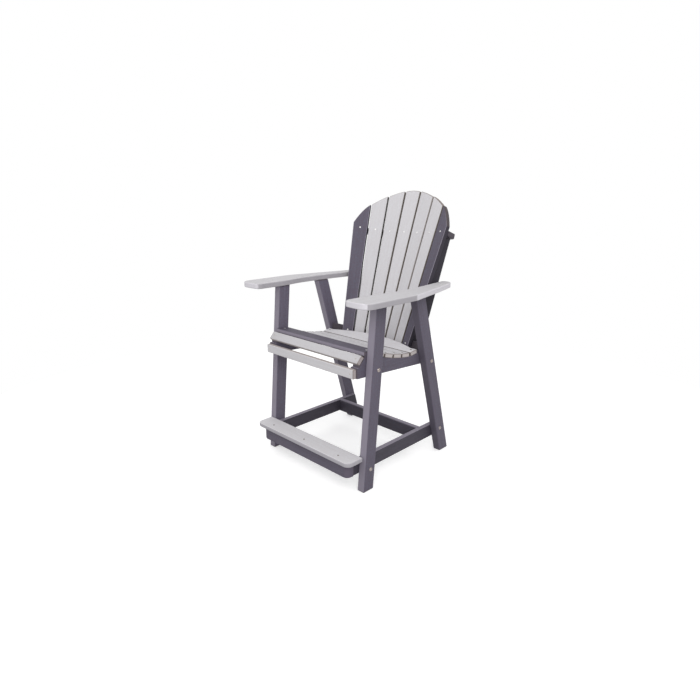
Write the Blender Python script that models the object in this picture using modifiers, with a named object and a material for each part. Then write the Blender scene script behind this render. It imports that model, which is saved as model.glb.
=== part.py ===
"""Two-tone slatted counter-height chair with a fan back, wide arms and a footrest.

Metres, +Z up. The chair faces -Y, and its middle plane is X = 0; left is the sitter's left, +X.
Drawing places are given from the front end of the seat rails (Y = 0) and the floor (Z = 0).
The empty named counter_chair then moves the drawing so that its origin is under the chair's middle.
"""
import math

import bmesh
import bpy
from mathutils import Matrix, Vector

# Lumber and fits
HEAVY = 0.038            # thickness of legs, seat rails, stretcher, fascia, lower back rail and posts
MEDIUM = 0.025           # thickness of the lower side rails, the upper back rail and the arms
THIN = 0.019             # thickness of slats, apron, nose and footrest boards
GAP = 0.0003             # clearance kept between pieces that touch
HEAVY_ROUND = 0.004      # rounding of the edges of heavy boards
THIN_ROUND = 0.003       # rounding of the edges of thin boards
ARM_ROUND = 0.004        # rounding of the edges of the arms
SAWN_ROUND = 0.0015      # rounding of the edges of the side rails and the fascia

# Whole chair
ORIGIN_Y = 0.3202        # drawing Y of the point under the middle of the chair
ARM_TOP = 0.843
LEG_OUTER_X = 0.328      # outer face of the legs
FRAME_X = LEG_OUTER_X - HEAVY    # inner face of the legs, where the rails lie
SLAT_HALF = FRAME_X - GAP        # half length of the seat boards

# Legs
FRONT_LEG_FOOT = 0.003   # front edge of the front foot
FRONT_LEG_WIDTH = 0.062  # along Y, level
FRONT_LEG_LEAN = 0.0866  # run to the rear for each unit of rise
REAR_LEG_FOOT = 0.561    # front edge of the rear foot
REAR_LEG_WIDTH = 0.0662
REAR_LEG_LEAN = -0.2923
LEG_TOP = ARM_TOP - MEDIUM - GAP

# Lower frame and footrest
LOW_RAIL_BOTTOM = 0.0797
LOW_RAIL_TOP = 0.1416
LOW_RAIL_INSET = 0.0205  # from the rear edge of the rear leg to the end of the rail
STRETCHER_REAR = 0.4775  # rear face of the stretcher
STRETCHER_ROUND = 0.012  # its rounded top edges
FASCIA_FRONT = -0.058
FASCIA_BOTTOM = 0.0772
FASCIA_CORNER = 0.024
FOOTREST_HALF = 0.314
FOOTREST_FRONT = -0.078
FOOTREST_REAR = 0.0115
FOOTREST_CORNER = 0.028
FOOTREST_REAR_CORNER = 0.004

# Seat
RAIL_BOTTOM_FRONT = 0.5095   # underside of the seat rail at Y = 0
RAIL_BOTTOM_SLOPE = -0.0674
RAIL_REAR = 0.480
RAIL_CLEARANCE = 0.004       # between a sawn step of the rail and the board next to it
APRON_BOTTOM = 0.5115
APRON_HEIGHT = 0.040
APRON_HALF = 0.285
NOSE_TOP = (0.027, 0.605)    # upper front edge of the slanted nose board, Y and Z
NOSE_WIDTH = 0.040
NOSE_SLANT = math.radians(46)
FRONT_SLAT_Y = (0.0435, 0.1135)
FRONT_SLAT_TOP = (0.616, 0.611)
SEAT_SLATS = 4               # narrow slats between the front slat and the rear one
SEAT_SLAT_START = 0.118
SEAT_SLAT_WIDTH = 0.051
SEAT_SLAT_PITCH = 0.057
DISH_LOW = (0.400, 0.5485)   # lowest point of the dished seat, Y and Z
DISH_CURVE = 0.70            # rise of the dish for each unit of distance squared
REAR_SLAT_FRONT = (0.348, 0.5503)
REAR_SLAT_SLANT = math.radians(7.66)
REAR_SLAT_END_DEPTH = 0.0455
REAR_SLAT_MIDDLE_DEPTH = 0.0935
REAR_SLAT_BOW_HALF = 0.255   # half length of the bowed part of its rear edge

# Back: flat slats set round a cone, so that each one tapers and the row is hollow
BACK_SLATS = 7
BACK_FOOT = (0.469, 0.5465)      # face of the middle slat at the lower rail, Y and Z
BACK_LEAN = math.radians(18.19)
CONE_HALF_ANGLE = math.radians(15.85)
CONE_STEP = math.radians(8.18)   # turn from slat to slat
CONE_REACH = 1.6763              # from the cone's tip to the lower rail, along a slat
UPPER_RAIL_HEIGHT = 0.528        # from the lower rail to the upper one, along a slat
BACK_SLAT_GAP = 0.0078
BACK_SLAT_FOOT = -0.045          # lower end of the slats
CROWN = 0.744                    # top of the middle slat
CROWN_SLOPE = 0.085              # the arched top falls by slope, curve and shoulder terms
CROWN_BLEND = 0.03
CROWN_CURVE = 1.0
SHOULDER_START = 0.23
SHOULDER_CURVE = 3.2
BACK_RAIL_DEPTH = 0.058
UPPER_RAIL_HALF = 0.297
RAIL_CORNER = 0.010
POST_FOOT_DEPTH = 0.062
POST_HEAD_DEPTH = 0.036
POST_INSET = 0.0025              # inward from the middle of the outer slat, to clear the arm

# Arms: plan of the left arm as corner X, Y and rounding radius
ARM_PLAN = (
    (0.405, -0.0665, 0.042),
    (0.4085, 0.228, 0.100),
    (0.358, 0.448, 0.120),
    (0.316, 0.606, 0.030),
    (0.262, 0.614, 0.018),
    (0.280, 0.468, 0.150),
    (0.292, 0.348, 0.120),
    (0.292, 0.212, 0.120),
    (0.2752, 0.086, 0.150),
    (0.2752, -0.0612, 0.0235),
    (0.340, -0.0663, 0.150),
)

# Carriage bolts and the threaded inserts that hold them: name, Y and Z
BOLT_RADIUS = 0.004
BOLT_HEAD_RADIUS = 0.0092
BOLT_HEAD_HEIGHT = 0.0045
BOLT_SIDES = 16
INSERT_RADIUS = 0.006
INSERT_LENGTH = 0.016
BOLT_END = 0.002             # from the end of the shank to the inner end of the insert
BOLTS = (
    ("front_seat", 0.0897, 0.5373),
    ("front_low", 0.0473, 0.0989),
    ("rear_seat", 0.4588, 0.4944),
    ("rear_low", 0.5535, 0.127),
)
SIDES = (("left", 1), ("right", -1))

# Finishes: linear base colour, roughness, metallic
FINISHES = {
    "light_grey_lumber": ((0.56, 0.545, 0.555), 0.55, 0.0),
    "dark_grey_lumber": ((0.130, 0.115, 0.150), 0.55, 0.0),
    "stainless_steel": ((0.62, 0.61, 0.58), 0.35, 1.0),
}


def clear_scene():
    """Remove every object of the scene that is open."""
    for old in list(bpy.data.objects):
        bpy.data.objects.remove(old)


def new_collection(name):
    """A collection linked to the scene."""
    collection = bpy.data.collections.new(name)
    bpy.context.scene.collection.children.link(collection)
    return collection


def new_finish(name):
    """A plain material with the colour, roughness and metallic value of a finish."""
    colour, roughness, metallic = FINISHES[name]
    material = bpy.data.materials.new(name)
    material.use_nodes = True
    shader = material.node_tree.nodes["Principled BSDF"]
    shader.inputs["Base Color"].default_value = (*colour, 1.0)
    shader.inputs["Roughness"].default_value = roughness
    shader.inputs["Metallic"].default_value = metallic
    return material


clear_scene()
chair = new_collection("adirondack_counter_chair")
cutters = new_collection("cutters")
light = new_finish("light_grey_lumber")
dark = new_finish("dark_grey_lumber")
steel = new_finish("stainless_steel")
origin = bpy.data.objects.new("counter_chair", None)
origin.location = (0, -ORIGIN_Y, 0)
chair.objects.link(origin)


def rounded_outline(corners, steps=5):
    """Outline through corners given as (x, y, radius), each turned into an arc of that radius."""
    outline = []
    for index, (x, y, radius) in enumerate(corners):
        corner = Vector((x, y))
        if radius == 0:
            outline.append(tuple(corner))
            continue
        before = (Vector(corners[index - 1][:2]) - corner).normalized()
        after = (Vector(corners[(index + 1) % len(corners)][:2]) - corner).normalized()
        half_angle = before.angle(after) / 2
        reach = radius / math.tan(half_angle)
        centre = corner + (before + after).normalized() * radius / math.sin(half_angle)
        start = corner + before * reach - centre
        turn = start.angle_signed(corner + after * reach - centre)
        for step in range(steps + 1):
            spin = Matrix.Rotation(-turn * step / steps, 2)
            outline.append(tuple(centre + spin @ start))
    return outline


def circle(radius, sides):
    """Points of a regular outline round the origin."""
    angles = [2 * math.pi * side / sides for side in range(sides)]
    return [(radius * math.cos(angle), radius * math.sin(angle)) for angle in angles]


def place(piece, placement, material):
    """Hang a piece on the chair's origin at its placement, with its material."""
    chair.objects.link(piece)
    piece.parent = origin
    piece.matrix_basis = placement
    piece.data.materials.append(material)
    return piece


def round_edges(piece, width, segments=2):
    """Round the sharp edges of a board."""
    bevel = piece.modifiers.new("rounded_edges", "BEVEL")
    bevel.width = width
    bevel.segments = segments
    bevel.limit_method = "ANGLE"
    bevel.angle_limit = math.radians(40)


def sawn_piece(name, outlines, thickness, placement, material, rounding):
    """A flat piece sawn to an outline, with any further outlines as holes, and its edges rounded."""
    curve = bpy.data.curves.new(name, "CURVE")
    curve.dimensions = "2D"
    curve.fill_mode = "BOTH"
    curve.extrude = thickness / 2
    for outline in outlines:
        spline = curve.splines.new("POLY")
        spline.points.add(len(outline) - 1)
        for point, (x, y) in zip(spline.points, outline):
            point.co = (x, y, 0, 1)
        spline.use_cyclic_u = True
    drawn = bpy.data.objects.new(name + "_drawn", curve)
    chair.objects.link(drawn)
    evaluated = drawn.evaluated_get(bpy.context.evaluated_depsgraph_get())
    mesh = bpy.data.meshes.new_from_object(evaluated)
    bpy.data.objects.remove(drawn)
    solid = bmesh.new()
    solid.from_mesh(mesh)
    bmesh.ops.remove_doubles(solid, verts=solid.verts, dist=0.00001)
    bmesh.ops.dissolve_limit(solid, angle_limit=math.radians(0.5), verts=solid.verts, edges=solid.edges)
    bmesh.ops.recalc_face_normals(solid, faces=solid.faces)
    solid.to_mesh(mesh)
    solid.free()
    mesh.name = name
    piece = place(bpy.data.objects.new(name, mesh), placement, material)
    if rounding:
        round_edges(piece, rounding)
    return piece


def straight_board(name, size, placement, material, rounding):
    """A straight board: a box with rounded edges, its middle at its placement."""
    mesh = bpy.data.meshes.new(name)
    box = bmesh.new()
    bmesh.ops.create_cube(box, size=1.0, matrix=Matrix.Diagonal((*size, 1.0)))
    box.to_mesh(mesh)
    box.free()
    piece = place(bpy.data.objects.new(name, mesh), placement, material)
    round_edges(piece, rounding)
    return piece


def side_view(x):
    """Placement that reads an outline's x and y as Y and Z, on the plane at X = x."""
    stand = Matrix.Rotation(math.pi / 2, 4, "Z") @ Matrix.Rotation(math.pi / 2, 4, "X")
    return Matrix.Translation((x, 0, 0)) @ stand


def tilted(y, z, slope_angle):
    """Placement of a board that runs along X, its depth rising to the rear by an angle."""
    return Matrix.Translation((0, y, z)) @ Matrix.Rotation(slope_angle, 4, "X")


def resting_on(face_start, face_end):
    """Width, middle and slope of a thin board whose upper face runs between two (y, z) points."""
    start = Vector(face_start)
    run = Vector(face_end) - start
    normal = Vector((-run.y, run.x)).normalized()
    middle = start + run / 2 - normal * THIN / 2
    return run.length, middle, math.atan2(run.y, run.x), normal


# Legs: each is one heavy board with level ends, the front pair and the rear pair leaning together
def leg_outline(foot, width, lean):
    """Side outline of a leg that leans, from the front edge of its foot."""
    shift = lean * LEG_TOP
    return [(foot, 0), (foot + width, 0), (foot + width + shift, LEG_TOP), (foot + shift, LEG_TOP)]


legs = {}
for side, sign in SIDES:
    leg_place = side_view(sign * (LEG_OUTER_X - HEAVY / 2))
    front = leg_outline(FRONT_LEG_FOOT, FRONT_LEG_WIDTH, FRONT_LEG_LEAN)
    rear = leg_outline(REAR_LEG_FOOT, REAR_LEG_WIDTH, REAR_LEG_LEAN)
    legs["front", side] = sawn_piece(f"front_leg_{side}", [front], HEAVY, leg_place, dark, HEAVY_ROUND)
    legs["rear", side] = sawn_piece(f"rear_leg_{side}", [rear], HEAVY, leg_place, dark, HEAVY_ROUND)


# Seat boards: upper faces as pairs of (y, z) points, from the front slat to the rear of the dish
def dish_height(y):
    """Height of the dished seat's surface."""
    return DISH_LOW[1] + DISH_CURVE * (DISH_LOW[0] - y) ** 2


seat_faces = [tuple(zip(FRONT_SLAT_Y, FRONT_SLAT_TOP))]
for index in range(SEAT_SLATS):
    front_y = SEAT_SLAT_START + index * SEAT_SLAT_PITCH
    rear_y = front_y + SEAT_SLAT_WIDTH
    seat_faces.append(((front_y, dish_height(front_y)), (rear_y, dish_height(rear_y))))

for index, face in enumerate(seat_faces):
    width, middle, slope, _ = resting_on(*face)
    material = dark if index == 0 else light
    slat_place = tilted(middle.x, middle.y, slope)
    straight_board(f"seat_slat_{index + 1}", (2 * SLAT_HALF, width, THIN), slat_place, material, THIN_ROUND)

# Rear seat slat: straight in front, bowed to the rear, tilted up towards the back
rear_bow = REAR_SLAT_MIDDLE_DEPTH - REAR_SLAT_END_DEPTH
rear_bow_radius = (REAR_SLAT_BOW_HALF ** 2 + rear_bow ** 2) / (2 * rear_bow)
rear_bow_angle = math.asin(REAR_SLAT_BOW_HALF / rear_bow_radius)
REAR_BOW_STEPS = 14
rear_slat_outline = [(SLAT_HALF, 0), (SLAT_HALF, REAR_SLAT_END_DEPTH)]
for step in range(REAR_BOW_STEPS + 1):
    angle = rear_bow_angle * (1 - 2 * step / REAR_BOW_STEPS)
    depth = REAR_SLAT_MIDDLE_DEPTH - rear_bow_radius * (1 - math.cos(angle))
    rear_slat_outline.append((rear_bow_radius * math.sin(angle), depth))
rear_slat_outline += [(-SLAT_HALF, REAR_SLAT_END_DEPTH), (-SLAT_HALF, 0)]
rear_slat_normal = Vector((0, -math.sin(REAR_SLAT_SLANT), math.cos(REAR_SLAT_SLANT)))
rear_slat_middle = Vector((0, *REAR_SLAT_FRONT)) - rear_slat_normal * THIN / 2
rear_slat_place = tilted(rear_slat_middle.y, rear_slat_middle.z, REAR_SLAT_SLANT)
sawn_piece(f"seat_slat_{SEAT_SLATS + 2}", [rear_slat_outline], THIN, rear_slat_place, light, THIN_ROUND)

# Nose board: a narrow slanted board in front of the front slat
nose_down = Vector((-math.cos(NOSE_SLANT), -math.sin(NOSE_SLANT)))
nose_inward = Vector((-nose_down.y, nose_down.x))
nose_top = Vector(NOSE_TOP)
nose_middle = nose_top + nose_down * NOSE_WIDTH / 2 + nose_inward * THIN / 2
nose_place = tilted(nose_middle.x, nose_middle.y, NOSE_SLANT)
straight_board("seat_nose", (2 * SLAT_HALF, NOSE_WIDTH, THIN), nose_place, light, THIN_ROUND)

# Apron: an upright board across the front ends of the seat rails
apron_place = Matrix.Translation((0, -GAP - THIN / 2, APRON_BOTTOM + APRON_HEIGHT / 2))
straight_board("seat_apron", (2 * APRON_HALF, THIN, APRON_HEIGHT), apron_place, light, THIN_ROUND)


# Back frames: the middle slat's frame, and its turns about the cone's axis
back_foot = Vector((0, *BACK_FOOT))
slat_up = Vector((0, math.sin(BACK_LEAN), math.cos(BACK_LEAN)))
cone_tip = back_foot - slat_up * CONE_REACH
axis_lean = BACK_LEAN - CONE_HALF_ANGLE
cone_axis = Vector((0, math.sin(axis_lean), math.cos(axis_lean)))
WIDTH_PER_REACH = math.sin(CONE_HALF_ANGLE) * math.tan(CONE_STEP / 2)


def slat_frame(place_in_row):
    """Frame on the face of a back slat: X across it, Y up it, Z out of it towards the sitter."""
    upright = Matrix.Translation(back_foot) @ Matrix.Rotation(math.pi / 2 - BACK_LEAN, 4, "X")
    spin = Matrix.Rotation(-place_in_row * CONE_STEP, 4, cone_axis)
    return Matrix.Translation(cone_tip) @ spin @ Matrix.Translation(-cone_tip) @ upright


def rail_frame(height):
    """Frame in the middle of a back rail: X along it, Y to the rear through it, Z up along the slats."""
    return Matrix.Translation(back_foot + slat_up * height) @ Matrix.Rotation(-BACK_LEAN, 4, "X")


def slat_half_width(height):
    """Half width of a back slat at a height above the lower rail."""
    return (CONE_REACH + height) * WIDTH_PER_REACH - BACK_SLAT_GAP / 2


def arch_drop(across):
    """How far the arched top lies below the crown, at a distance across the row."""
    distance = abs(across)
    slope_part = CROWN_SLOPE * (math.hypot(distance, CROWN_BLEND) - CROWN_BLEND)
    shoulder = max(0, distance - SHOULDER_START)
    return slope_part + CROWN_CURVE * distance ** 2 + SHOULDER_CURVE * shoulder ** 2


def back_slat_outline(place_in_row, arch_steps=6):
    """Tapered outline of a back slat with its part of the arched top."""
    foot_half = slat_half_width(BACK_SLAT_FOOT)
    row_pitch = 2 * (CONE_REACH + CROWN) * WIDTH_PER_REACH
    outline = [(-foot_half, BACK_SLAT_FOOT), (foot_half, BACK_SLAT_FOOT)]
    for step in range(arch_steps + 1):
        share = 1 - 2 * step / arch_steps
        top = CROWN - arch_drop(row_pitch * (place_in_row + share / 2))
        outline.append((share * slat_half_width(top), top))
    return outline


half_row = BACK_SLATS // 2
slat_rows = range(-half_row, half_row + 1)
for place_in_row in slat_rows:
    material = dark if abs(place_in_row) == half_row else light
    slat_place = slat_frame(place_in_row) @ Matrix.Translation((0, 0, -THIN / 2))
    number = half_row - place_in_row + 1
    slat_outline = back_slat_outline(place_in_row)
    sawn_piece(f"back_slat_{number}", [slat_outline], THIN, slat_place, material, THIN_ROUND)


def facet_line(place_in_row, frame, thickness):
    """Line of a rail's flat for a slat, as normal and offset; it clears the slat's slight tilt."""
    slat = slat_frame(place_in_row)
    to_rail = frame.inverted()
    normal = to_rail.to_3x3() @ slat.to_3x3() @ Vector((0, 0, 1))
    clearance = GAP + abs(normal.z) * thickness / 2
    point = to_rail @ (slat @ Vector((0, 0, -THIN - clearance)))
    flat = Vector((normal.x, normal.y))
    return flat, normal.dot(point)


def back_rail_outline(height, thickness, half_length, corner):
    """Outline of a back rail: a flat on its front edge for each slat, and a bowed rear edge."""
    frame = rail_frame(height)
    lines = [facet_line(place_in_row, frame, thickness) for place_in_row in slat_rows]
    front_edge = []
    for (normal, offset), (next_normal, next_offset) in zip(lines, lines[1:]):
        across = normal.x * next_normal.y - normal.y * next_normal.x
        x = (offset * next_normal.y - next_offset * normal.y) / across
        y = (normal.x * next_offset - next_normal.x * offset) / across
        front_edge.append((x, y))
    last_normal, last_offset = lines[-1]
    end_y = (last_offset - last_normal.x * half_length) / last_normal.y
    middle_normal, middle_offset = lines[half_row]
    middle_y = middle_offset / middle_normal.y
    bow = middle_y - end_y
    radius = (half_length ** 2 + bow ** 2) / (2 * bow)
    corners = [(-half_length, end_y, 0)]
    corners += [(x, y, 0) for x, y in front_edge]
    corners.append((half_length, end_y, 0))
    bow_steps = 12
    bow_angle = math.asin(half_length / radius)
    for step in range(bow_steps + 1):
        angle = bow_angle * (1 - 2 * step / bow_steps)
        rear_y = middle_y + BACK_RAIL_DEPTH - radius * (1 - math.cos(angle))
        is_corner = step in (0, bow_steps)
        corners.append((radius * math.sin(angle), rear_y, corner if is_corner else 0))
    return rounded_outline(corners)


upper_outline = back_rail_outline(UPPER_RAIL_HEIGHT, MEDIUM, UPPER_RAIL_HALF, RAIL_CORNER)
sawn_piece("back_rail_upper", [upper_outline], MEDIUM, rail_frame(UPPER_RAIL_HEIGHT), dark, HEAVY_ROUND)
lower_outline = back_rail_outline(0, HEAVY, SLAT_HALF, 0)
sawn_piece("back_rail_lower", [lower_outline], HEAVY, rail_frame(0), dark, HEAVY_ROUND)


# Back posts: tapered uprights between the two back rails, against the rear of the outer slats
def post_corner(across, behind_foot, behind_head, frame, rail_face):
    """Where one long edge of a post, drawn in its slat's frame, meets the face of a back rail."""
    low = Vector((across, 0, -THIN - GAP - behind_foot))
    high = Vector((across, UPPER_RAIL_HEIGHT, -THIN - GAP - behind_head))
    rail_up = frame.to_3x3().inverted() @ slat_up
    rail_point = frame.inverted() @ rail_face
    share = (rail_point - low).dot(rail_up) / (high - low).dot(rail_up)
    return low + (high - low) * share


POST_FACES = ((0, 1, 2, 3), (4, 7, 6, 5), (0, 4, 5, 1), (1, 5, 6, 2), (2, 6, 7, 3), (3, 7, 4, 0))
post_foot_face = back_foot + slat_up * (HEAVY / 2 + GAP)
post_head_face = back_foot + slat_up * (UPPER_RAIL_HEIGHT - MEDIUM / 2 - GAP)
for side, sign in SIDES:
    post_frame = slat_frame(sign * half_row)
    inner = -sign * POST_INSET - HEAVY / 2
    outer = -sign * POST_INSET + HEAVY / 2
    post_corners = []
    for rail_face in (post_foot_face, post_head_face):
        post_corners.append(post_corner(inner, 0, 0, post_frame, rail_face))
        post_corners.append(post_corner(outer, 0, 0, post_frame, rail_face))
        post_corners.append(post_corner(outer, POST_FOOT_DEPTH, POST_HEAD_DEPTH, post_frame, rail_face))
        post_corners.append(post_corner(inner, POST_FOOT_DEPTH, POST_HEAD_DEPTH, post_frame, rail_face))
    post_mesh = bpy.data.meshes.new(f"back_post_{side}")
    post_solid = bmesh.new()
    post_verts = [post_solid.verts.new(corner) for corner in post_corners]
    for face in POST_FACES:
        post_solid.faces.new([post_verts[index] for index in face])
    bmesh.ops.recalc_face_normals(post_solid, faces=post_solid.faces)
    post_solid.to_mesh(post_mesh)
    post_solid.free()
    post = place(bpy.data.objects.new(f"back_post_{side}", post_mesh), post_frame, dark)
    round_edges(post, HEAVY_ROUND)


# Seat rails: heavy boards inside the legs, sawn to the dish with a flat for each slat
def under(face):
    """The underside of a seat board, with its clearance, as two (y, z) points."""
    start, end = (Vector(point) for point in face)
    normal = resting_on(*face)[3]
    drop = normal * (THIN + GAP)
    return [tuple(start - drop), tuple(end - drop)]


def rail_underside(y):
    """Height of the sloped underside of a seat rail."""
    return RAIL_BOTTOM_FRONT + RAIL_BOTTOM_SLOPE * y


def lower_back_rail_seat(y):
    """Height of the slanted flat that carries the lower back rail."""
    below = back_foot - slat_up * (HEAVY / 2 + GAP)
    return below.z - (y - below.y) * math.tan(BACK_LEAN)


nose_seat = nose_top + nose_inward * (THIN + GAP)
nose_rise = math.tan(NOSE_SLANT)
nose_foot = nose_seat + nose_down * NOSE_WIDTH
front_under = under(seat_faces[0])
nose_head_z = front_under[0][1]
nose_head_y = nose_seat.x + (nose_head_z - nose_seat.y) / nose_rise
ledge_z = APRON_BOTTOM + APRON_HEIGHT + RAIL_CLEARANCE
rear_slat_run = Vector((math.cos(REAR_SLAT_SLANT), math.sin(REAR_SLAT_SLANT)))
fence_y = REAR_SLAT_FRONT[0] + REAR_SLAT_END_DEPTH * rear_slat_run.x + RAIL_CLEARANCE
rear_face = (REAR_SLAT_FRONT, tuple(Vector(REAR_SLAT_FRONT) + REAR_SLAT_END_DEPTH * rear_slat_run))
rear_under = under(rear_face)
rear_under_z = rear_under[0][1] + (fence_y - rear_under[0][0]) * math.tan(REAR_SLAT_SLANT)

rail_outline = [(0, rail_underside(0)), (RAIL_REAR, rail_underside(RAIL_REAR))]
rail_outline.append((RAIL_REAR, lower_back_rail_seat(RAIL_REAR)))
rail_outline.append((fence_y, lower_back_rail_seat(fence_y)))
rail_outline.append((fence_y, rear_under_z))
rail_outline.append(rear_under[0])
for face in reversed(seat_faces[1:]):
    rail_outline += reversed(under(face))
rail_outline.append(front_under[1])
rail_outline.append((nose_head_y, nose_head_z))
rail_outline.append(tuple(nose_foot))
rail_outline.append((nose_foot.x, ledge_z))
rail_outline.append((0, ledge_z))

seat_rails = {}
for side, sign in SIDES:
    rail_place = side_view(sign * (FRAME_X - GAP - HEAVY / 2))
    seat_rails[side] = sawn_piece(f"seat_rail_{side}", [rail_outline], HEAVY, rail_place, dark, SAWN_ROUND)

# Lower frame: two side rails, the stretcher between them and the fascia across their front ends
fascia_rear = FASCIA_FRONT + HEAVY


def low_rail_end(z):
    """Rear end of a lower rail, cut parallel to the rear edge of the rear leg."""
    return REAR_LEG_FOOT + REAR_LEG_WIDTH + REAR_LEG_LEAN * z - LOW_RAIL_INSET


low_rail_outline = [
    (fascia_rear + GAP, LOW_RAIL_BOTTOM),
    (low_rail_end(LOW_RAIL_BOTTOM), LOW_RAIL_BOTTOM),
    (low_rail_end(LOW_RAIL_TOP), LOW_RAIL_TOP),
    (fascia_rear + GAP, LOW_RAIL_TOP),
]
low_rails = {}
for side, sign in SIDES:
    rail_place = side_view(sign * (FRAME_X - GAP - MEDIUM / 2))
    rail_name = f"lower_rail_{side}"
    low_rails[side] = sawn_piece(rail_name, [low_rail_outline], MEDIUM, rail_place, dark, SAWN_ROUND)

stretcher_half = FRAME_X - MEDIUM - 2 * GAP
stretcher_front = STRETCHER_REAR - HEAVY
stretcher_corners = [
    (stretcher_front, LOW_RAIL_BOTTOM, HEAVY_ROUND),
    (STRETCHER_REAR, LOW_RAIL_BOTTOM, HEAVY_ROUND),
    (STRETCHER_REAR, LOW_RAIL_TOP, STRETCHER_ROUND),
    (stretcher_front, LOW_RAIL_TOP, STRETCHER_ROUND),
]
stretcher_outline = rounded_outline(stretcher_corners)
sawn_piece("rear_stretcher", [stretcher_outline], 2 * stretcher_half, side_view(0), dark, 0)

fascia_corners = [
    (-SLAT_HALF, FASCIA_FRONT, FASCIA_CORNER),
    (SLAT_HALF, FASCIA_FRONT, FASCIA_CORNER),
    (SLAT_HALF, fascia_rear, 0),
    (-SLAT_HALF, fascia_rear, 0),
]
fascia_place = Matrix.Translation((0, 0, (FASCIA_BOTTOM + LOW_RAIL_TOP) / 2))
fascia_height = LOW_RAIL_TOP - FASCIA_BOTTOM
fascia_outline = rounded_outline(fascia_corners)
sawn_piece("footrest_fascia", [fascia_outline], fascia_height, fascia_place, dark, SAWN_ROUND)

footrest_corners = [
    (-FOOTREST_HALF, FOOTREST_FRONT, FOOTREST_CORNER),
    (FOOTREST_HALF, FOOTREST_FRONT, FOOTREST_CORNER),
    (FOOTREST_HALF, FOOTREST_REAR, FOOTREST_REAR_CORNER),
    (-FOOTREST_HALF, FOOTREST_REAR, FOOTREST_REAR_CORNER),
]
footrest_place = Matrix.Translation((0, 0, LOW_RAIL_TOP + GAP + THIN / 2))
sawn_piece("footrest_board", [rounded_outline(footrest_corners)], THIN, footrest_place, light, THIN_ROUND)

# Arms: wide boards over both legs of a side, waisted on the inner edge and narrowing to the rear
for side, sign in SIDES:
    arm_corners = [(sign * x, y, radius) for x, y, radius in ARM_PLAN]
    arm_place = Matrix.Translation((0, 0, ARM_TOP - MEDIUM / 2))
    sawn_piece(f"arm_{side}", [rounded_outline(arm_corners, 6)], MEDIUM, arm_place, light, ARM_ROUND)


# Bolts: each goes through a leg into a threaded insert, set in the outer face of the rail behind it
def drill(piece, name, radius, depth, placement):
    """Cut a round hole into a board, from a depth on each side of its placement along Z."""
    bpy.ops.mesh.primitive_cylinder_add(vertices=BOLT_SIDES, radius=radius, depth=2 * depth)
    cutter = bpy.context.object
    cutter.name = name
    for holder in cutter.users_collection:
        holder.objects.unlink(cutter)
    cutters.objects.link(cutter)
    cutter.parent = origin
    cutter.matrix_basis = placement
    cutter.hide_render = True
    cutter.display_type = "WIRE"
    hole = piece.modifiers.new("bolt_hole", "BOOLEAN")
    hole.operation = "DIFFERENCE"
    hole.object = cutter


def bolt_mesh(name, grip):
    """Half profile of a carriage bolt, to be turned: domed head, then shank, from the top down."""
    dome_radius = (BOLT_HEAD_RADIUS ** 2 + BOLT_HEAD_HEIGHT ** 2) / (2 * BOLT_HEAD_HEIGHT)
    dome_angle = math.asin(BOLT_HEAD_RADIUS / dome_radius)
    dome_steps = 4
    profile = []
    for step in range(dome_steps + 1):
        angle = dome_angle * step / dome_steps
        height = BOLT_HEAD_HEIGHT - dome_radius * (1 - math.cos(angle))
        profile.append((dome_radius * math.sin(angle), height))
    profile.append((BOLT_RADIUS, 0))
    profile.append((BOLT_RADIUS, -grip))
    profile.append((0, -grip))
    mesh = bpy.data.meshes.new(name)
    edges = [(index, index + 1) for index in range(len(profile) - 1)]
    mesh.from_pydata([(radius, 0, height) for radius, height in profile], edges, [])
    return mesh


def turned_piece(name, mesh, placement, material):
    """A profile turned round its own Z axis."""
    piece = place(bpy.data.objects.new(name, mesh), placement, material)
    turn = piece.modifiers.new("turned", "SCREW")
    turn.steps = BOLT_SIDES
    turn.render_steps = BOLT_SIDES
    turn.use_merge_vertices = True
    turn.merge_threshold = 0.00001
    turn.use_smooth_shade = True
    return piece


head_x = LEG_OUTER_X + GAP
insert_x = FRAME_X - GAP
grip = head_x - insert_x + INSERT_LENGTH - BOLT_END
insert_rings = [circle(INSERT_RADIUS, BOLT_SIDES), circle(BOLT_RADIUS + GAP, BOLT_SIDES)]
for side, sign in SIDES:
    outward = Matrix.Rotation(sign * math.pi / 2, 4, "Y")
    for bolt_name, y, z in BOLTS:
        label = f"{bolt_name}_{side}"
        head_place = Matrix.Translation((sign * head_x, y, z)) @ outward
        turned_piece(f"bolt_{label}", bolt_mesh(label, grip), head_place, steel)
        insert_place = Matrix.Translation((sign * (insert_x - INSERT_LENGTH / 2), y, z)) @ outward
        sawn_piece(f"insert_{label}", insert_rings, INSERT_LENGTH, insert_place, steel, 0)
        leg = legs[bolt_name.split("_")[0], side]
        drill(leg, f"leg_drill_{label}", BOLT_RADIUS + GAP, 2 * HEAVY, head_place)
        rail = (seat_rails if bolt_name.endswith("seat") else low_rails)[side]
        face_place = Matrix.Translation((sign * insert_x, y, z)) @ outward
        drill(rail, f"rail_drill_{label}", INSERT_RADIUS + GAP, INSERT_LENGTH + GAP, face_place)
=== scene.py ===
"""Looks of the two-tone poly lumber counter chair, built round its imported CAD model."""

import math

import bmesh
import bpy
from mathutils import Matrix, Vector


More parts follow.
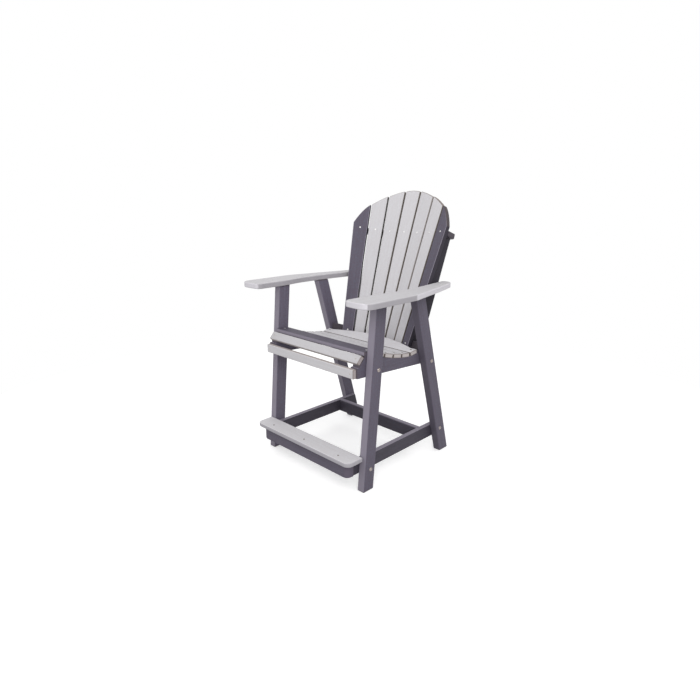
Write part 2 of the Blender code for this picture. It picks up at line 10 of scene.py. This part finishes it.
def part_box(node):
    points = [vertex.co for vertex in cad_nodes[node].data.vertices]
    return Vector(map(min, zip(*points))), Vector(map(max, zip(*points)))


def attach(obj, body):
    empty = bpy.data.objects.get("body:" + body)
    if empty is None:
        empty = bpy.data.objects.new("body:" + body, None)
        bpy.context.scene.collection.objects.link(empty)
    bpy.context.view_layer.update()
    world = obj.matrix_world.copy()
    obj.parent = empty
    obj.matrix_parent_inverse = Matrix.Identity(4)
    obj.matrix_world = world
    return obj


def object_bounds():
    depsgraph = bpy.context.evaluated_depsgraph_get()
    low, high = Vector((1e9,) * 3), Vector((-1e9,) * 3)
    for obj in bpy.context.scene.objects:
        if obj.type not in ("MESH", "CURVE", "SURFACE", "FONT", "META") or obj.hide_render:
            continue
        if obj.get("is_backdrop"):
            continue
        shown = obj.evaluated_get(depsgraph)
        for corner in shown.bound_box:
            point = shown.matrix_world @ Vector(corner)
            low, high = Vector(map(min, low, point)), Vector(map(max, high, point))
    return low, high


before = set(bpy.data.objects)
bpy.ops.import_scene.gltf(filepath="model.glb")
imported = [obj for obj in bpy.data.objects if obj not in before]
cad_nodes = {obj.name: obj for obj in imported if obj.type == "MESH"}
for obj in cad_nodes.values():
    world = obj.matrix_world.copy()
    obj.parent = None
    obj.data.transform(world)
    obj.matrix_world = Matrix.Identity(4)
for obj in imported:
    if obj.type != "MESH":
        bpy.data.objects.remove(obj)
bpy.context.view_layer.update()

# Legs: two front and two rear boards of heavy dark poly lumber, sawn level at both ends and bolted
# outside the rails. The wide sides are brushed and dull, and the narrow edges keep the smooth skin of the
# extruder; their paler tone is a painted sheen.
WIDTHWAYS = Vector((1, 0, 0))
LENGTHWAYS = Vector((0, 1, 0))
UPWARDS = Vector((0, 0, 1))
FRONT_LEG_RUN = Vector((0, 0.0866, 1))   # up a front leg, which leans to the rear
REAR_LEG_RUN = Vector((0, -0.2923, 1))   # up a rear leg, which leans to the front


def to_linear(hex_colour):
    """Linear RGBA of an sRGB hex colour."""
    channels = [int(hex_colour[start:start + 2], 16) / 255 for start in (1, 3, 5)]
    linear = [c / 12.92 if c <= 0.04045 else ((c + 0.055) / 1.055) ** 2.4 for c in channels]
    return (*linear, 1.0)


def add_node(tree, kind, inputs, output=0, **settings):
    """Add a node and return one of its outputs; each input is a value, or the output that feeds it."""
    node = tree.nodes.new(kind)
    for name, value in settings.items():
        setattr(node, name, value)
    for socket, value in inputs.items():
        if isinstance(value, bpy.types.NodeSocket):
            tree.links.new(value, node.inputs[socket])
        else:
            node.inputs[socket].default_value = value
    return node.outputs[output]


# Recycled polyethylene lumber, extruded with a brushed skin: matte, with long soft streaks and a fine
# mottle of the pigments that were mixed into it. A sawn end shows a darker rim round a foamed core.
# A turn says how squarely a surface faces a direction where a tone starts, and where it is full. The
# direction is out of the wide side for the edge tone, and out of the sawn end for the rim and the core.
DARK_LUMBER = {
    "name": "dark grey poly lumber",
    "skin": "#615a68",
    "streak": "#59525f",
    "mottle": "#5f6170",
    # painted sheen: the narrow edges are drawn paler than the wide sides
    "edge": "#8a8491",
    "edge_turn": (0.65, 0.25),
    "rim": "#4a4346",
    "core": "#625b66",
}
RIM_TURN = (0.15, 0.45)
CORE_TURN = (0.90, 0.97)
STREAK_SIZE = (0.160, 0.007, 0.007)   # a streak in the skin, along the board and across it
STREAK_BAND = {"From Min": 0.32, "From Max": 0.68}   # noise at which a streak starts and is full
MOTTLE_SIZE = 0.008                   # a fleck of pigment
MOTTLE_BAND = {"From Min": 0.45, "From Max": 0.75, "To Max": 0.8}
BRUSH_SIZE = (0.050, 0.003, 0.003)    # a brush line; real ones are about 1 mm wide, too fine to show
BRUSH_RELIEF = {"Strength": 0.25, "Distance": 0.0004}
BRUSH_GLOSS = {"From Min": 0.3, "From Max": 0.7, "To Min": 0.50, "To Max": 0.64}   # noise to roughness
DULL_SPECULAR = 0.25                  # half the usual level, for a dull skin
GRAIN_SHIFT = (3.1, 5.7, 2.3)         # how far the grain may move from board to board
BOARD_SPREAD = 0.03                   # share by which the boards differ in brightness, either way


def facing(tree, normals, direction):
    """How squarely a surface faces a direction: 1 straight at it, 0 across it, -1 away from it."""
    pair = {0: normals, 1: Vector(direction).normalized()}
    return add_node(tree, "ShaderNodeVectorMath", pair, output="Value", operation="DOT_PRODUCT")


def sawn_ends(along):
    """Zones of a board that is sawn across at both ends."""
    zones = [("rim", along, RIM_TURN), ("rim", -along, RIM_TURN)]
    return zones + [("core", along, CORE_TURN), ("core", -along, CORE_TURN)]


def poly_lumber(tones, along, broad, zones=None, shade=1.0):
    """Poly lumber with its grain along one direction and its wide sides facing another.

    A zone is a tone, the direction that it faces and its turn; both ends are sawn where none are given.
    The shade makes the skin darker or paler.
    """
    material = bpy.data.materials.new(tones["name"])
    material.use_nodes = True
    tree = material.node_tree
    shader = tree.nodes["Principled BSDF"]
    places = tree.nodes.new("ShaderNodeTexCoord")
    board = tree.nodes.new("ShaderNodeObjectInfo")
    shift = {0: board.outputs["Random"], 1: GRAIN_SHIFT, 2: places.outputs["Object"]}
    shifted = add_node(tree, "ShaderNodeVectorMath", shift, operation="MULTIPLY_ADD")
    grain = {"Vector": shifted, "Rotation": WIDTHWAYS.rotation_difference(along).to_euler()}

    # Streaks and flecks in the brushed skin, and a little difference from board to board
    streak_grain = grain | {"Scale": STREAK_SIZE}
    streak_places = add_node(tree, "ShaderNodeMapping", streak_grain, vector_type="TEXTURE")
    streaks = add_node(tree, "ShaderNodeTexNoise", {"Vector": streak_places, "Scale": 1.0, "Detail": 4.0})
    streak_mask = add_node(tree, "ShaderNodeMapRange", {"Value": streaks} | STREAK_BAND)
    grained = {"Fac": streak_mask, "Color1": to_linear(tones["skin"]), "Color2": to_linear(tones["streak"])}
    skin = add_node(tree, "ShaderNodeMixRGB", grained)
    flecks = add_node(tree, "ShaderNodeTexNoise", {"Vector": shifted, "Scale": 1 / MOTTLE_SIZE})
    fleck_mask = add_node(tree, "ShaderNodeMapRange", {"Value": flecks} | MOTTLE_BAND)
    mottled = {"Fac": fleck_mask, "Color1": skin, "Color2": to_linear(tones["mottle"])}
    skin = add_node(tree, "ShaderNodeMixRGB", mottled)
    shades = {"To Min": (1 - BOARD_SPREAD) * shade, "To Max": (1 + BOARD_SPREAD) * shade}
    board_shade = add_node(tree, "ShaderNodeMapRange", {"Value": board.outputs["Random"]} | shades)
    skin = add_node(tree, "ShaderNodeHueSaturation", {"Color": skin, "Value": board_shade})

    # Narrow edges and sawn ends, told apart by where the surface faces
    broad_on = facing(tree, places.outputs["Normal"], broad)
    broad_on = add_node(tree, "ShaderNodeMath", {0: broad_on}, operation="ABSOLUTE")
    starts, full = tones["edge_turn"]
    edge_band = {"Value": broad_on, "From Min": starts, "From Max": full}
    edge_mask = add_node(tree, "ShaderNodeMapRange", edge_band)
    surface = {"Fac": edge_mask, "Color1": skin, "Color2": to_linear(tones["edge"])}
    for tone, direction, (starts, full) in zones or sawn_ends(along):
        turned = facing(tree, places.outputs["Normal"], direction)
        zone_band = {"Value": turned, "From Min": starts, "From Max": full}
        zone_mask = add_node(tree, "ShaderNodeMapRange", zone_band)
        below = add_node(tree, "ShaderNodeMixRGB", surface)
        surface = {"Fac": zone_mask, "Color1": below, "Color2": to_linear(tones[tone])}
    colour = add_node(tree, "ShaderNodeMixRGB", surface)

    # Brush lines in the gloss and the relief
    brush_grain = grain | {"Scale": BRUSH_SIZE}
    brush_places = add_node(tree, "ShaderNodeMapping", brush_grain, vector_type="TEXTURE")
    brush = add_node(tree, "ShaderNodeTexNoise", {"Vector": brush_places, "Scale": 1.0, "Detail": 3.0})
    relief = add_node(tree, "ShaderNodeBump", {"Height": brush} | BRUSH_RELIEF)
    roughness = add_node(tree, "ShaderNodeMapRange", {"Value": brush} | BRUSH_GLOSS)
    tree.links.new(colour, shader.inputs["Base Color"])
    tree.links.new(roughness, shader.inputs["Roughness"])
    tree.links.new(relief, shader.inputs["Normal"])
    shader.inputs["Specular IOR Level"].default_value = DULL_SPECULAR
    return material


def dress(material, *names):
    """Give the CAD nodes of those names a material."""
    for name in names:
        cad_nodes[name].material_slots[0].material = material


# The right legs are drawn slightly paler, as painted light, and the left rear one has darker edges, as a
# painted shadow.
RIGHT_LEG_SHADE = 1.15
SHADOW_EDGE_LUMBER = DARK_LUMBER | {"edge": "#5a5561"}
dress(poly_lumber(DARK_LUMBER, FRONT_LEG_RUN, WIDTHWAYS), "front_leg_left")
dress(poly_lumber(DARK_LUMBER, FRONT_LEG_RUN, WIDTHWAYS, shade=RIGHT_LEG_SHADE), "front_leg_right")
dress(poly_lumber(SHADOW_EDGE_LUMBER, REAR_LEG_RUN, WIDTHWAYS), "rear_leg_left")
dress(poly_lumber(DARK_LUMBER, REAR_LEG_RUN, WIDTHWAYS, shade=RIGHT_LEG_SHADE), "rear_leg_right")

# Seat rails: heavy dark boards bolted inside the legs, band-sawn on top to the dish of the seat.
# The grain runs front to rear and falls a little.
SEAT_RAIL_RUN = Vector((0, 1, -0.0674))
dress(poly_lumber(DARK_LUMBER, SEAT_RAIL_RUN, WIDTHWAYS), "seat_rail_left", "seat_rail_right")

# Lower frame: two side rails, the stretcher between them at the rear and the fascia under the footrest.
# All are dark boards on edge; the fascia's front corners are routed round, so it shows no sawn rim there.
FASCIA_LUMBER = DARK_LUMBER | {"rim": DARK_LUMBER["skin"], "core": DARK_LUMBER["skin"]}
LOW_SHADE = 0.5           # side rails and stretcher are drawn darker, for the deep shade they lie in
low_rail = poly_lumber(DARK_LUMBER, LENGTHWAYS, WIDTHWAYS, shade=LOW_SHADE)
dress(low_rail, "lower_rail_left", "lower_rail_right")
dress(poly_lumber(DARK_LUMBER, WIDTHWAYS, LENGTHWAYS, shade=LOW_SHADE), "rear_stretcher")
dress(poly_lumber(FASCIA_LUMBER, WIDTHWAYS, LENGTHWAYS), "footrest_fascia")

# Seat: a slanted nose board, one dark slat and five light ones, screwed across the two seat rails,
# with the apron upright across the rails' front ends. The rear slat is sawn to the curve of the back.
LIGHT_LUMBER = {
    "name": "light grey poly lumber",
    "skin": "#cecccf",
    "streak": "#c8c5c8",
    "mottle": "#d0d0d4",
    "edge": "#625a53",
    "edge_turn": (0.65, 0.25),
    "rim": "#7b706d",
    "core": "#c0b9b8",
}
REAR_SLAT = 6                    # number of the rear slat, counted from the dark one in front
NOSE_FACE = Vector((0, -1, 1))   # out of the nose board, forwards and up
# painted shade: the nose board is drawn darker, as it faces into the brightest light
NOSE_SHADE = 0.82
DARK_SLAT_SHADE = 0.85
# painted light: the rear slat is drawn paler, to lift the shade of the arms and the back round it
REAR_SLAT_SHADE = 1.1
# The nose and the apron have paler edges than the slats, a painted highlight, and a painted shadow darkens
# the dark slat's lower front corner in the joint with the nose.
FRONT_LUMBER = LIGHT_LUMBER | {"edge": "#aba3a1", "core": "#a79e9e"}
JOINT_SHADOW_TURN = (0.80, 0.90)
light_slat = poly_lumber(LIGHT_LUMBER, WIDTHWAYS, UPWARDS)
dark_zones = [("rim", -LENGTHWAYS - UPWARDS, JOINT_SHADOW_TURN)] + sawn_ends(WIDTHWAYS)
dress(poly_lumber(DARK_LUMBER, WIDTHWAYS, UPWARDS, dark_zones, DARK_SLAT_SHADE), "seat_slat_1")
dress(light_slat, *[f"seat_slat_{number}" for number in range(2, REAR_SLAT)])
dress(poly_lumber(LIGHT_LUMBER, WIDTHWAYS, UPWARDS, shade=REAR_SLAT_SHADE), f"seat_slat_{REAR_SLAT}")
dress(poly_lumber(FRONT_LUMBER, WIDTHWAYS, NOSE_FACE, shade=NOSE_SHADE), "seat_nose")
dress(poly_lumber(FRONT_LUMBER, WIDTHWAYS, LENGTHWAYS), "seat_apron")

# Back: seven flat slats set round a cone, screwed to two curved dark rails and braced by two posts.
# Each slat tapers downwards, so its grain follows its own middle line; the outer two are dark, with a
# painted highlight along their rounded corners.
BACK_FOOT = Vector((0, 0.1488, 0.5465))     # face of the middle slat at the lower rail
BACK_LEAN = math.radians(18.19)
HALF_ROW = 3                                # slats on each side of the middle one
CONE_HALF_ANGLE = math.radians(15.85)
CONE_STEP = math.radians(8.18)              # turn from slat to slat
CONE_REACH = 1.6763                         # from the cone's tip to the lower rail, along a slat
ROUNDED_TURN = (1.0, 0.75)                  # the edge tone takes in the rounded corners too
CORNER_SLANT = 0.41                         # the half of a rounded corner that is next to the face
CORNER_HIGHLIGHT_TURN = (0.95, 0.98)
BACK_SHADE = 0.95
POST_SHADE = 0.28                           # the posts are drawn darker, for the deep shade they stand in
slat_up = Vector((0, math.sin(BACK_LEAN), math.cos(BACK_LEAN)))
cone_tip = BACK_FOOT - slat_up * CONE_REACH
axis_lean = BACK_LEAN - CONE_HALF_ANGLE
cone_axis = Vector((0, math.sin(axis_lean), math.cos(axis_lean)))


def slat_frame(place_in_row):
    """Frame on the face of a back slat: X across it, Y up it, Z out of it towards the sitter."""
    upright = Matrix.Translation(BACK_FOOT) @ Matrix.Rotation(math.pi / 2 - BACK_LEAN, 4, "X")
    spin = Matrix.Rotation(-place_in_row * CONE_STEP, 4, cone_axis)
    return Matrix.Translation(cone_tip) @ spin @ Matrix.Translation(-cone_tip) @ upright


# Tones of the slats' sawn edges, from the sitter's left: painted shade in the gaps between the slats, which
# differs from gap to gap.
SLAT_EDGE_SHADES = ("#343039", "#625a53", "#98918e", "#6b635c", "#6b635c", "#3b3632", "#343039")
for number, edge in enumerate(SLAT_EDGE_SHADES, start=1):
    place_in_row = HALF_ROW + 1 - number
    is_outer = abs(place_in_row) == HALF_ROW
    across, up, out = slat_frame(place_in_row).to_3x3().col
    tones = DARK_LUMBER if is_outer else LIGHT_LUMBER
    slat_tones = tones | {"edge": edge, "edge_turn": ROUNDED_TURN, "corner": DARK_LUMBER["edge"]}
    zones = sawn_ends(up)
    if is_outer:
        corners = (out + across * CORNER_SLANT, out - across * CORNER_SLANT)
        zones = [("corner", corner, CORNER_HIGHLIGHT_TURN) for corner in corners] + zones
        post = "back_post_left" if place_in_row > 0 else "back_post_right"
        dress(poly_lumber(DARK_LUMBER, up, across, shade=POST_SHADE), post)
    dress(poly_lumber(slat_tones, up, out, zones, BACK_SHADE), f"back_slat_{number}")
# painted shade: the back rails' edges and sawn ends are drawn darker, for the shade behind the slats
BACK_RAIL_LUMBER = DARK_LUMBER | {"edge": "#4c4652", "rim": "#423c42", "core": "#4c464e"}
dress(poly_lumber(BACK_RAIL_LUMBER, WIDTHWAYS, slat_up), "back_rail_upper", "back_rail_lower")

# Footrest: one light board, screwed down over the fascia and the front ends of the side rails.
# Its front corners and edges are routed round, so they have no sawn rim; their one even, duller tone is
# painted shade.
ROUTED_SHADED_LUMBER = LIGHT_LUMBER | dict.fromkeys(("edge", "rim", "core"), "#aeabb1")
# painted light: the board is drawn paler, to lift the shade that the seat casts on it
FOOTREST_SHADE = 1.08
dress(poly_lumber(ROUTED_SHADED_LUMBER, WIDTHWAYS, UPWARDS, shade=FOOTREST_SHADE), "footrest_board")

# Arms: wide light boards over both legs of a side. The straight sides carry painted shade, the rounded
# front and the outer rear curve a painted highlight, and only the short rear end is sawn, drawn dark as
# painted shade.
ARM_LUMBER = LIGHT_LUMBER | {"edge": "#a3a0a5", "rim": "#d2cfd5", "core": "#8f8783"}
ARM_FRONT_TURN = (0.69, 0.79)
ARM_CURVE_SLANT = 0.3     # how far the outer rear curve looks outwards
ARM_CURVE_TURN = (0.32, 0.40)
ARM_END_TURN = (0.48, 0.60)
ARM_SHADE = 0.87
for name, outwards in (("arm_left", WIDTHWAYS), ("arm_right", -WIDTHWAYS)):
    arm_zones = [
        ("rim", -LENGTHWAYS, ARM_FRONT_TURN),
        ("rim", LENGTHWAYS + ARM_CURVE_SLANT * outwards, ARM_CURVE_TURN),
        ("core", LENGTHWAYS, ARM_END_TURN),
    ]
    dress(poly_lumber(ARM_LUMBER, LENGTHWAYS, UPWARDS, arm_zones, ARM_SHADE), name)

# Carriage bolts: domed stainless steel heads on the outside of the legs, pulled into hidden inserts.
# Cold-forged and tumbled, so the heads have a soft, slightly uneven gloss.
TUMBLE_SIZE = 0.002       # dimples from tumbling; real ones are finer and would not show
TUMBLE_RELIEF = {"Strength": 0.2, "Distance": 0.0002}


def stainless_steel(name, tone, smoothest, roughest):
    """Cold-forged stainless steel with an uneven tumbled gloss."""
    material = bpy.data.materials.new(name)
    material.use_nodes = True
    tree = material.node_tree
    shader = tree.nodes["Principled BSDF"]
    shader.inputs["Base Color"].default_value = to_linear(tone)
    shader.inputs["Metallic"].default_value = 1.0
    places = tree.nodes.new("ShaderNodeTexCoord")
    dimples = {"Vector": places.outputs["Object"], "Scale": 1 / TUMBLE_SIZE}
    tumbled = add_node(tree, "ShaderNodeTexNoise", dimples)
    gloss = {"Value": tumbled, "To Min": smoothest, "To Max": roughest}
    roughness = add_node(tree, "ShaderNodeMapRange", gloss)
    relief = add_node(tree, "ShaderNodeBump", {"Height": tumbled} | TUMBLE_RELIEF)
    tree.links.new(roughness, shader.inputs["Roughness"])
    tree.links.new(relief, shader.inputs["Normal"])
    return material


bolt_steel = stainless_steel("tumbled stainless steel", "#948b88", smoothest=0.22, roughest=0.40)
dress(bolt_steel, *[name for name in cad_nodes if name.startswith(("bolt_", "insert_"))])

# Wood screws: stainless pan heads with a square drive, one through each end of every seat board and
# through each back slat at the upper rail; the two outer slats also show theirs at the lower rail.
# Three more hold the footrest. Those in the back and the dark slat are bright, and the others are dulled.
HEAD_RADIUS = 0.0042
HEAD_HEIGHT = 0.0014
HEAD_SUNK = 0.0003        # depth of the head's foot in the board
HEAD_SIDES = 24
HEAD_DOME = ((1.0, 0.35), (0.92, 0.68), (0.72, 0.92), (0.50, 1.0))   # shares of the radius and the height
DRIVE_HALF = 0.0013       # half the width of the square drive
DRIVE_DEPTH = 0.0009
DRIVE_TAPER = 0.9         # width of the drive's bottom against that of its mouth
bright_steel = stainless_steel("bright stainless steel", "#e6e5e4", smoothest=0.28, roughest=0.45)
dull_steel = stainless_steel("darker stainless steel", "#8b837c", smoothest=0.40, roughest=0.60)
soft_steel = stainless_steel("weathered stainless steel", "#bdb9b6", smoothest=0.45, roughest=0.65)


def head_ring(solid, placement, radius, height, square=False):
    """A ring of vertices round a screw head, on a circle or on the outline of its square drive."""
    ring = []
    for side in range(HEAD_SIDES):
        angle = 2 * math.pi * side / HEAD_SIDES
        x, y = math.cos(angle), math.sin(angle)
        reach = radius / max(abs(x), abs(y)) if square else radius
        ring.append(solid.verts.new(placement @ Vector((reach * x, reach * y, height))))
    return ring


def drive_screws(name, steel, placements):
    """One piece with a screw head at each placement, whose Z points out of the board."""
    solid = bmesh.new()
    drive_bottom = HEAD_HEIGHT - DRIVE_DEPTH
    for placement in placements:
        rings = [head_ring(solid, placement, HEAD_RADIUS, -HEAD_SUNK)]
        for width, rise in HEAD_DOME:
            rings.append(head_ring(solid, placement, HEAD_RADIUS * width, HEAD_HEIGHT * rise))
        rings.append(head_ring(solid, placement, DRIVE_HALF, HEAD_HEIGHT, square=True))
        rings.append(head_ring(solid, placement, DRIVE_HALF * DRIVE_TAPER, drive_bottom, square=True))
        for lower, upper in zip(rings, rings[1:]):
            for side in range(HEAD_SIDES):
                following = (side + 1) % HEAD_SIDES
                solid.faces.new((lower[side], lower[following], upper[following], upper[side]))
        solid.faces.new(list(reversed(rings[0])))
        solid.faces.new(rings[-1])
    mesh = bpy.data.meshes.new(name)
    solid.to_mesh(mesh)
    solid.free()
    mesh.materials.append(steel)
    # The rings are joined by smooth faces; the head's foot and the drive's bottom stay flat
    for polygon in mesh.polygons:
        polygon.use_smooth = len(polygon.vertices) == 4
    piece = bpy.data.objects.new(name, mesh)
    bpy.context.scene.collection.objects.link(piece)
    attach(piece, "root")


def on_board(node, start, towards):
    """Placement on a board where a line from a point meets it, with Z out of its face."""
    found, place, normal, _ = cad_nodes[node].ray_cast(Vector(start), Vector(towards))
    if not found:
        raise RuntimeError(f"no face of {node} was met from {start}")
    return Matrix.Translation(place) @ normal.to_track_quat("Z", "Y").to_matrix().to_4x4()


UPPER_SCREW_LINE = 0.535  # height of the upper screws up the back, from the lower rail
upper_screws = []
lower_screws = []
for place_in_row in range(-HALF_ROW, HALF_ROW + 1):
    face = slat_frame(place_in_row)
    rise = face.to_3x3().col[1].dot(slat_up)
    start_height = (face.translation - BACK_FOOT).dot(slat_up)
    upper_screws.append(face @ Matrix.Translation((0, (UPPER_SCREW_LINE - start_height) / rise, 0)))
    if abs(place_in_row) == HALF_ROW:
        lower_screws.append(face @ Matrix.Translation((0, -start_height / rise, 0)))
drive_screws("back_screws_upper", bright_steel, upper_screws)
drive_screws("back_screws_lower", bright_steel, lower_screws)

SEAT_SCREW_X = (-0.268, 0.268)
REAR_SLAT_INSET = 0.028   # screws of the bowed rear slat, from its front edge
DOWN = (0, 0, -1)
SEAT_DROP = 1.0           # height from which the screws' lines fall on the seat
BOARD_CLEAR = 0.1         # distance in front of the apron and the nose where the screws' lines start
light_screws = []
for number in range(2, REAR_SLAT + 1):
    low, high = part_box(f"seat_slat_{number}")
    screw_y = low.y + REAR_SLAT_INSET if number == REAR_SLAT else (low.y + high.y) / 2
    light_screws += [on_board(f"seat_slat_{number}", (x, screw_y, SEAT_DROP), DOWN) for x in SEAT_SCREW_X]
drive_screws("light_seat_screws", dull_steel, light_screws)

dark_screws = []
front_screws = []
for x in SEAT_SCREW_X:
    low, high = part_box("seat_slat_1")
    dark_screws.append(on_board("seat_slat_1", (x, (low.y + high.y) / 2, SEAT_DROP), DOWN))
    low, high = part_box("seat_apron")
    apron_start = (x, low.y - BOARD_CLEAR, (low.z + high.z) / 2)
    front_screws.append(on_board("seat_apron", apron_start, LENGTHWAYS))
    low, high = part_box("seat_nose")
    nose_start = (x, (low.y + high.y) / 2 - BOARD_CLEAR, (low.z + high.z) / 2 + BOARD_CLEAR)
    front_screws.append(on_board("seat_nose", nose_start, -NOSE_FACE))
drive_screws("dark_seat_screws", bright_steel, dark_screws)
drive_screws("seat_front_screws", soft_steel, front_screws)

FOOTREST_SCREW_X = (-0.223, 0, 0.223)
FOOTREST_SCREW_INSET = 0.032
FOOTREST_DROP = 0.5
screw_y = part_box("footrest_board")[0].y + FOOTREST_SCREW_INSET
footrest_screws = [on_board("footrest_board", (x, screw_y, FOOTREST_DROP), DOWN) for x in FOOTREST_SCREW_X]
drive_screws("footrest_screws", dull_steel, footrest_screws)

# Floor: a round of matte white studio board, which shows white to the camera and keeps a soft shadow.
# Less of its light comes back to the chair than a white floor would give.
FLOOR_RADIUS = 2.4
FLOOR_SIDES = 96
FLOOR_TO_CHAIR = "#8c8c8c"   # its tone in the light that it sends back to the chair
FLOOR_SEEN = "#e6e6e6"       # its tone as seen
FLOOR_LIFT = 0.45            # glow that brings the seen floor to white outside the shadow
floor_round = bmesh.new()
bmesh.ops.create_circle(floor_round, cap_ends=True, radius=FLOOR_RADIUS, segments=FLOOR_SIDES)
floor_mesh = bpy.data.meshes.new("studio_floor")
floor_round.to_mesh(floor_mesh)
floor_round.free()
floor = bpy.data.objects.new("studio_floor", floor_mesh)
bpy.context.scene.collection.objects.link(floor)
floor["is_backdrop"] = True


def shows_background(tree):
    """1 for the rays that should meet a white background: seen, mirrored or seen through glass."""
    rays = tree.nodes.new("ShaderNodeLightPath")
    mirrored = {0: rays.outputs["Is Camera Ray"], 1: rays.outputs["Is Glossy Ray"]}
    seen = add_node(tree, "ShaderNodeMath", mirrored, operation="MAXIMUM")
    through = {0: seen, 1: rays.outputs["Is Transmission Ray"]}
    return add_node(tree, "ShaderNodeMath", through, operation="MAXIMUM")


floor_board = bpy.data.materials.new("matte white studio board")
floor_board.use_nodes = True
floor_tree = floor_board.node_tree
floor_shader = floor_tree.nodes["Principled BSDF"]
seen_floor = shows_background(floor_tree)
floor_tones = {"Fac": seen_floor, "Color1": to_linear(FLOOR_TO_CHAIR), "Color2": to_linear(FLOOR_SEEN)}
floor_tone = add_node(floor_tree, "ShaderNodeMixRGB", floor_tones)
floor_lift = add_node(floor_tree, "ShaderNodeMath", {0: seen_floor, 1: FLOOR_LIFT}, operation="MULTIPLY")
floor_tree.links.new(floor_tone, floor_shader.inputs["Base Color"])
floor_tree.links.new(floor_lift, floor_shader.inputs["Emission Strength"])
floor_shader.inputs["Emission Color"].default_value = (1, 1, 1, 1)
floor_shader.inputs["Roughness"].default_value = 0.9
floor_shader.inputs["Specular IOR Level"].default_value = 0.0
floor_mesh.materials.append(floor_board)

# Studio light: an even surround, with one soft box on the camera's side and one overhead.
# The surround shows white to the camera and in reflections.
SURROUND_STRENGTH = 0.82
world = bpy.data.worlds.new("studio_surround")
bpy.context.scene.world = world
world.use_nodes = True
surround = world.node_tree.nodes["Background"]
surround.inputs["Color"].default_value = (1, 1, 1, 1)
strengths = {"Value": shows_background(world.node_tree), "To Min": SURROUND_STRENGTH, "To Max": 1.0}
surround_strength = add_node(world.node_tree, "ShaderNodeMapRange", strengths)
world.node_tree.links.new(surround_strength, surround.inputs["Strength"])

CHAIR_MIDDLE = Vector((0, 0, 0.65))
SOFT_BOX_DISTANCE = 4.2
SOFT_BOX_SIZE = 2.4


def soft_box(name, direction, power):
    """A square area lamp turned towards the middle of the chair."""
    lamp = bpy.data.lights.new(name, "AREA")
    lamp.size = SOFT_BOX_SIZE
    lamp.energy = power
    box = bpy.data.objects.new(name, lamp)
    box.location = CHAIR_MIDDLE + Vector(direction).normalized() * SOFT_BOX_DISTANCE
    box.rotation_euler = (CHAIR_MIDDLE - box.location).to_track_quat("-Z", "Y").to_euler()
    box.visible_camera = False
    bpy.context.scene.collection.objects.link(box)


soft_box("camera_side_soft_box", direction=(0.66, -0.60, 0.45), power=77)
soft_box("overhead_soft_box", direction=(0, -0.15, 1), power=20)

# Camera: a 27 mm lens in front of the chair on the sitter's left, just below the height of the crown.
# It looks down on the seat a little.
CAMERA_PLACE = (1.677, -1.7735, 1.2196)
CAMERA_DIP = math.radians(16.237)
CAMERA_TURN = math.radians(44.498)
camera_data = bpy.data.cameras.new("photo_camera")
camera_data.lens = 26.916
camera_data.sensor_width = 36.0
camera = bpy.data.objects.new("photo_camera", camera_data)
camera.location = CAMERA_PLACE
camera.rotation_euler = (math.pi / 2 - CAMERA_DIP, 0, CAMERA_TURN)
bpy.context.scene.collection.objects.link(camera)
bpy.context.scene.camera = camera
bpy.context.scene.view_settings.view_transform = "Standard"

# Size: the box round the visual model, floor left out.
low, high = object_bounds()
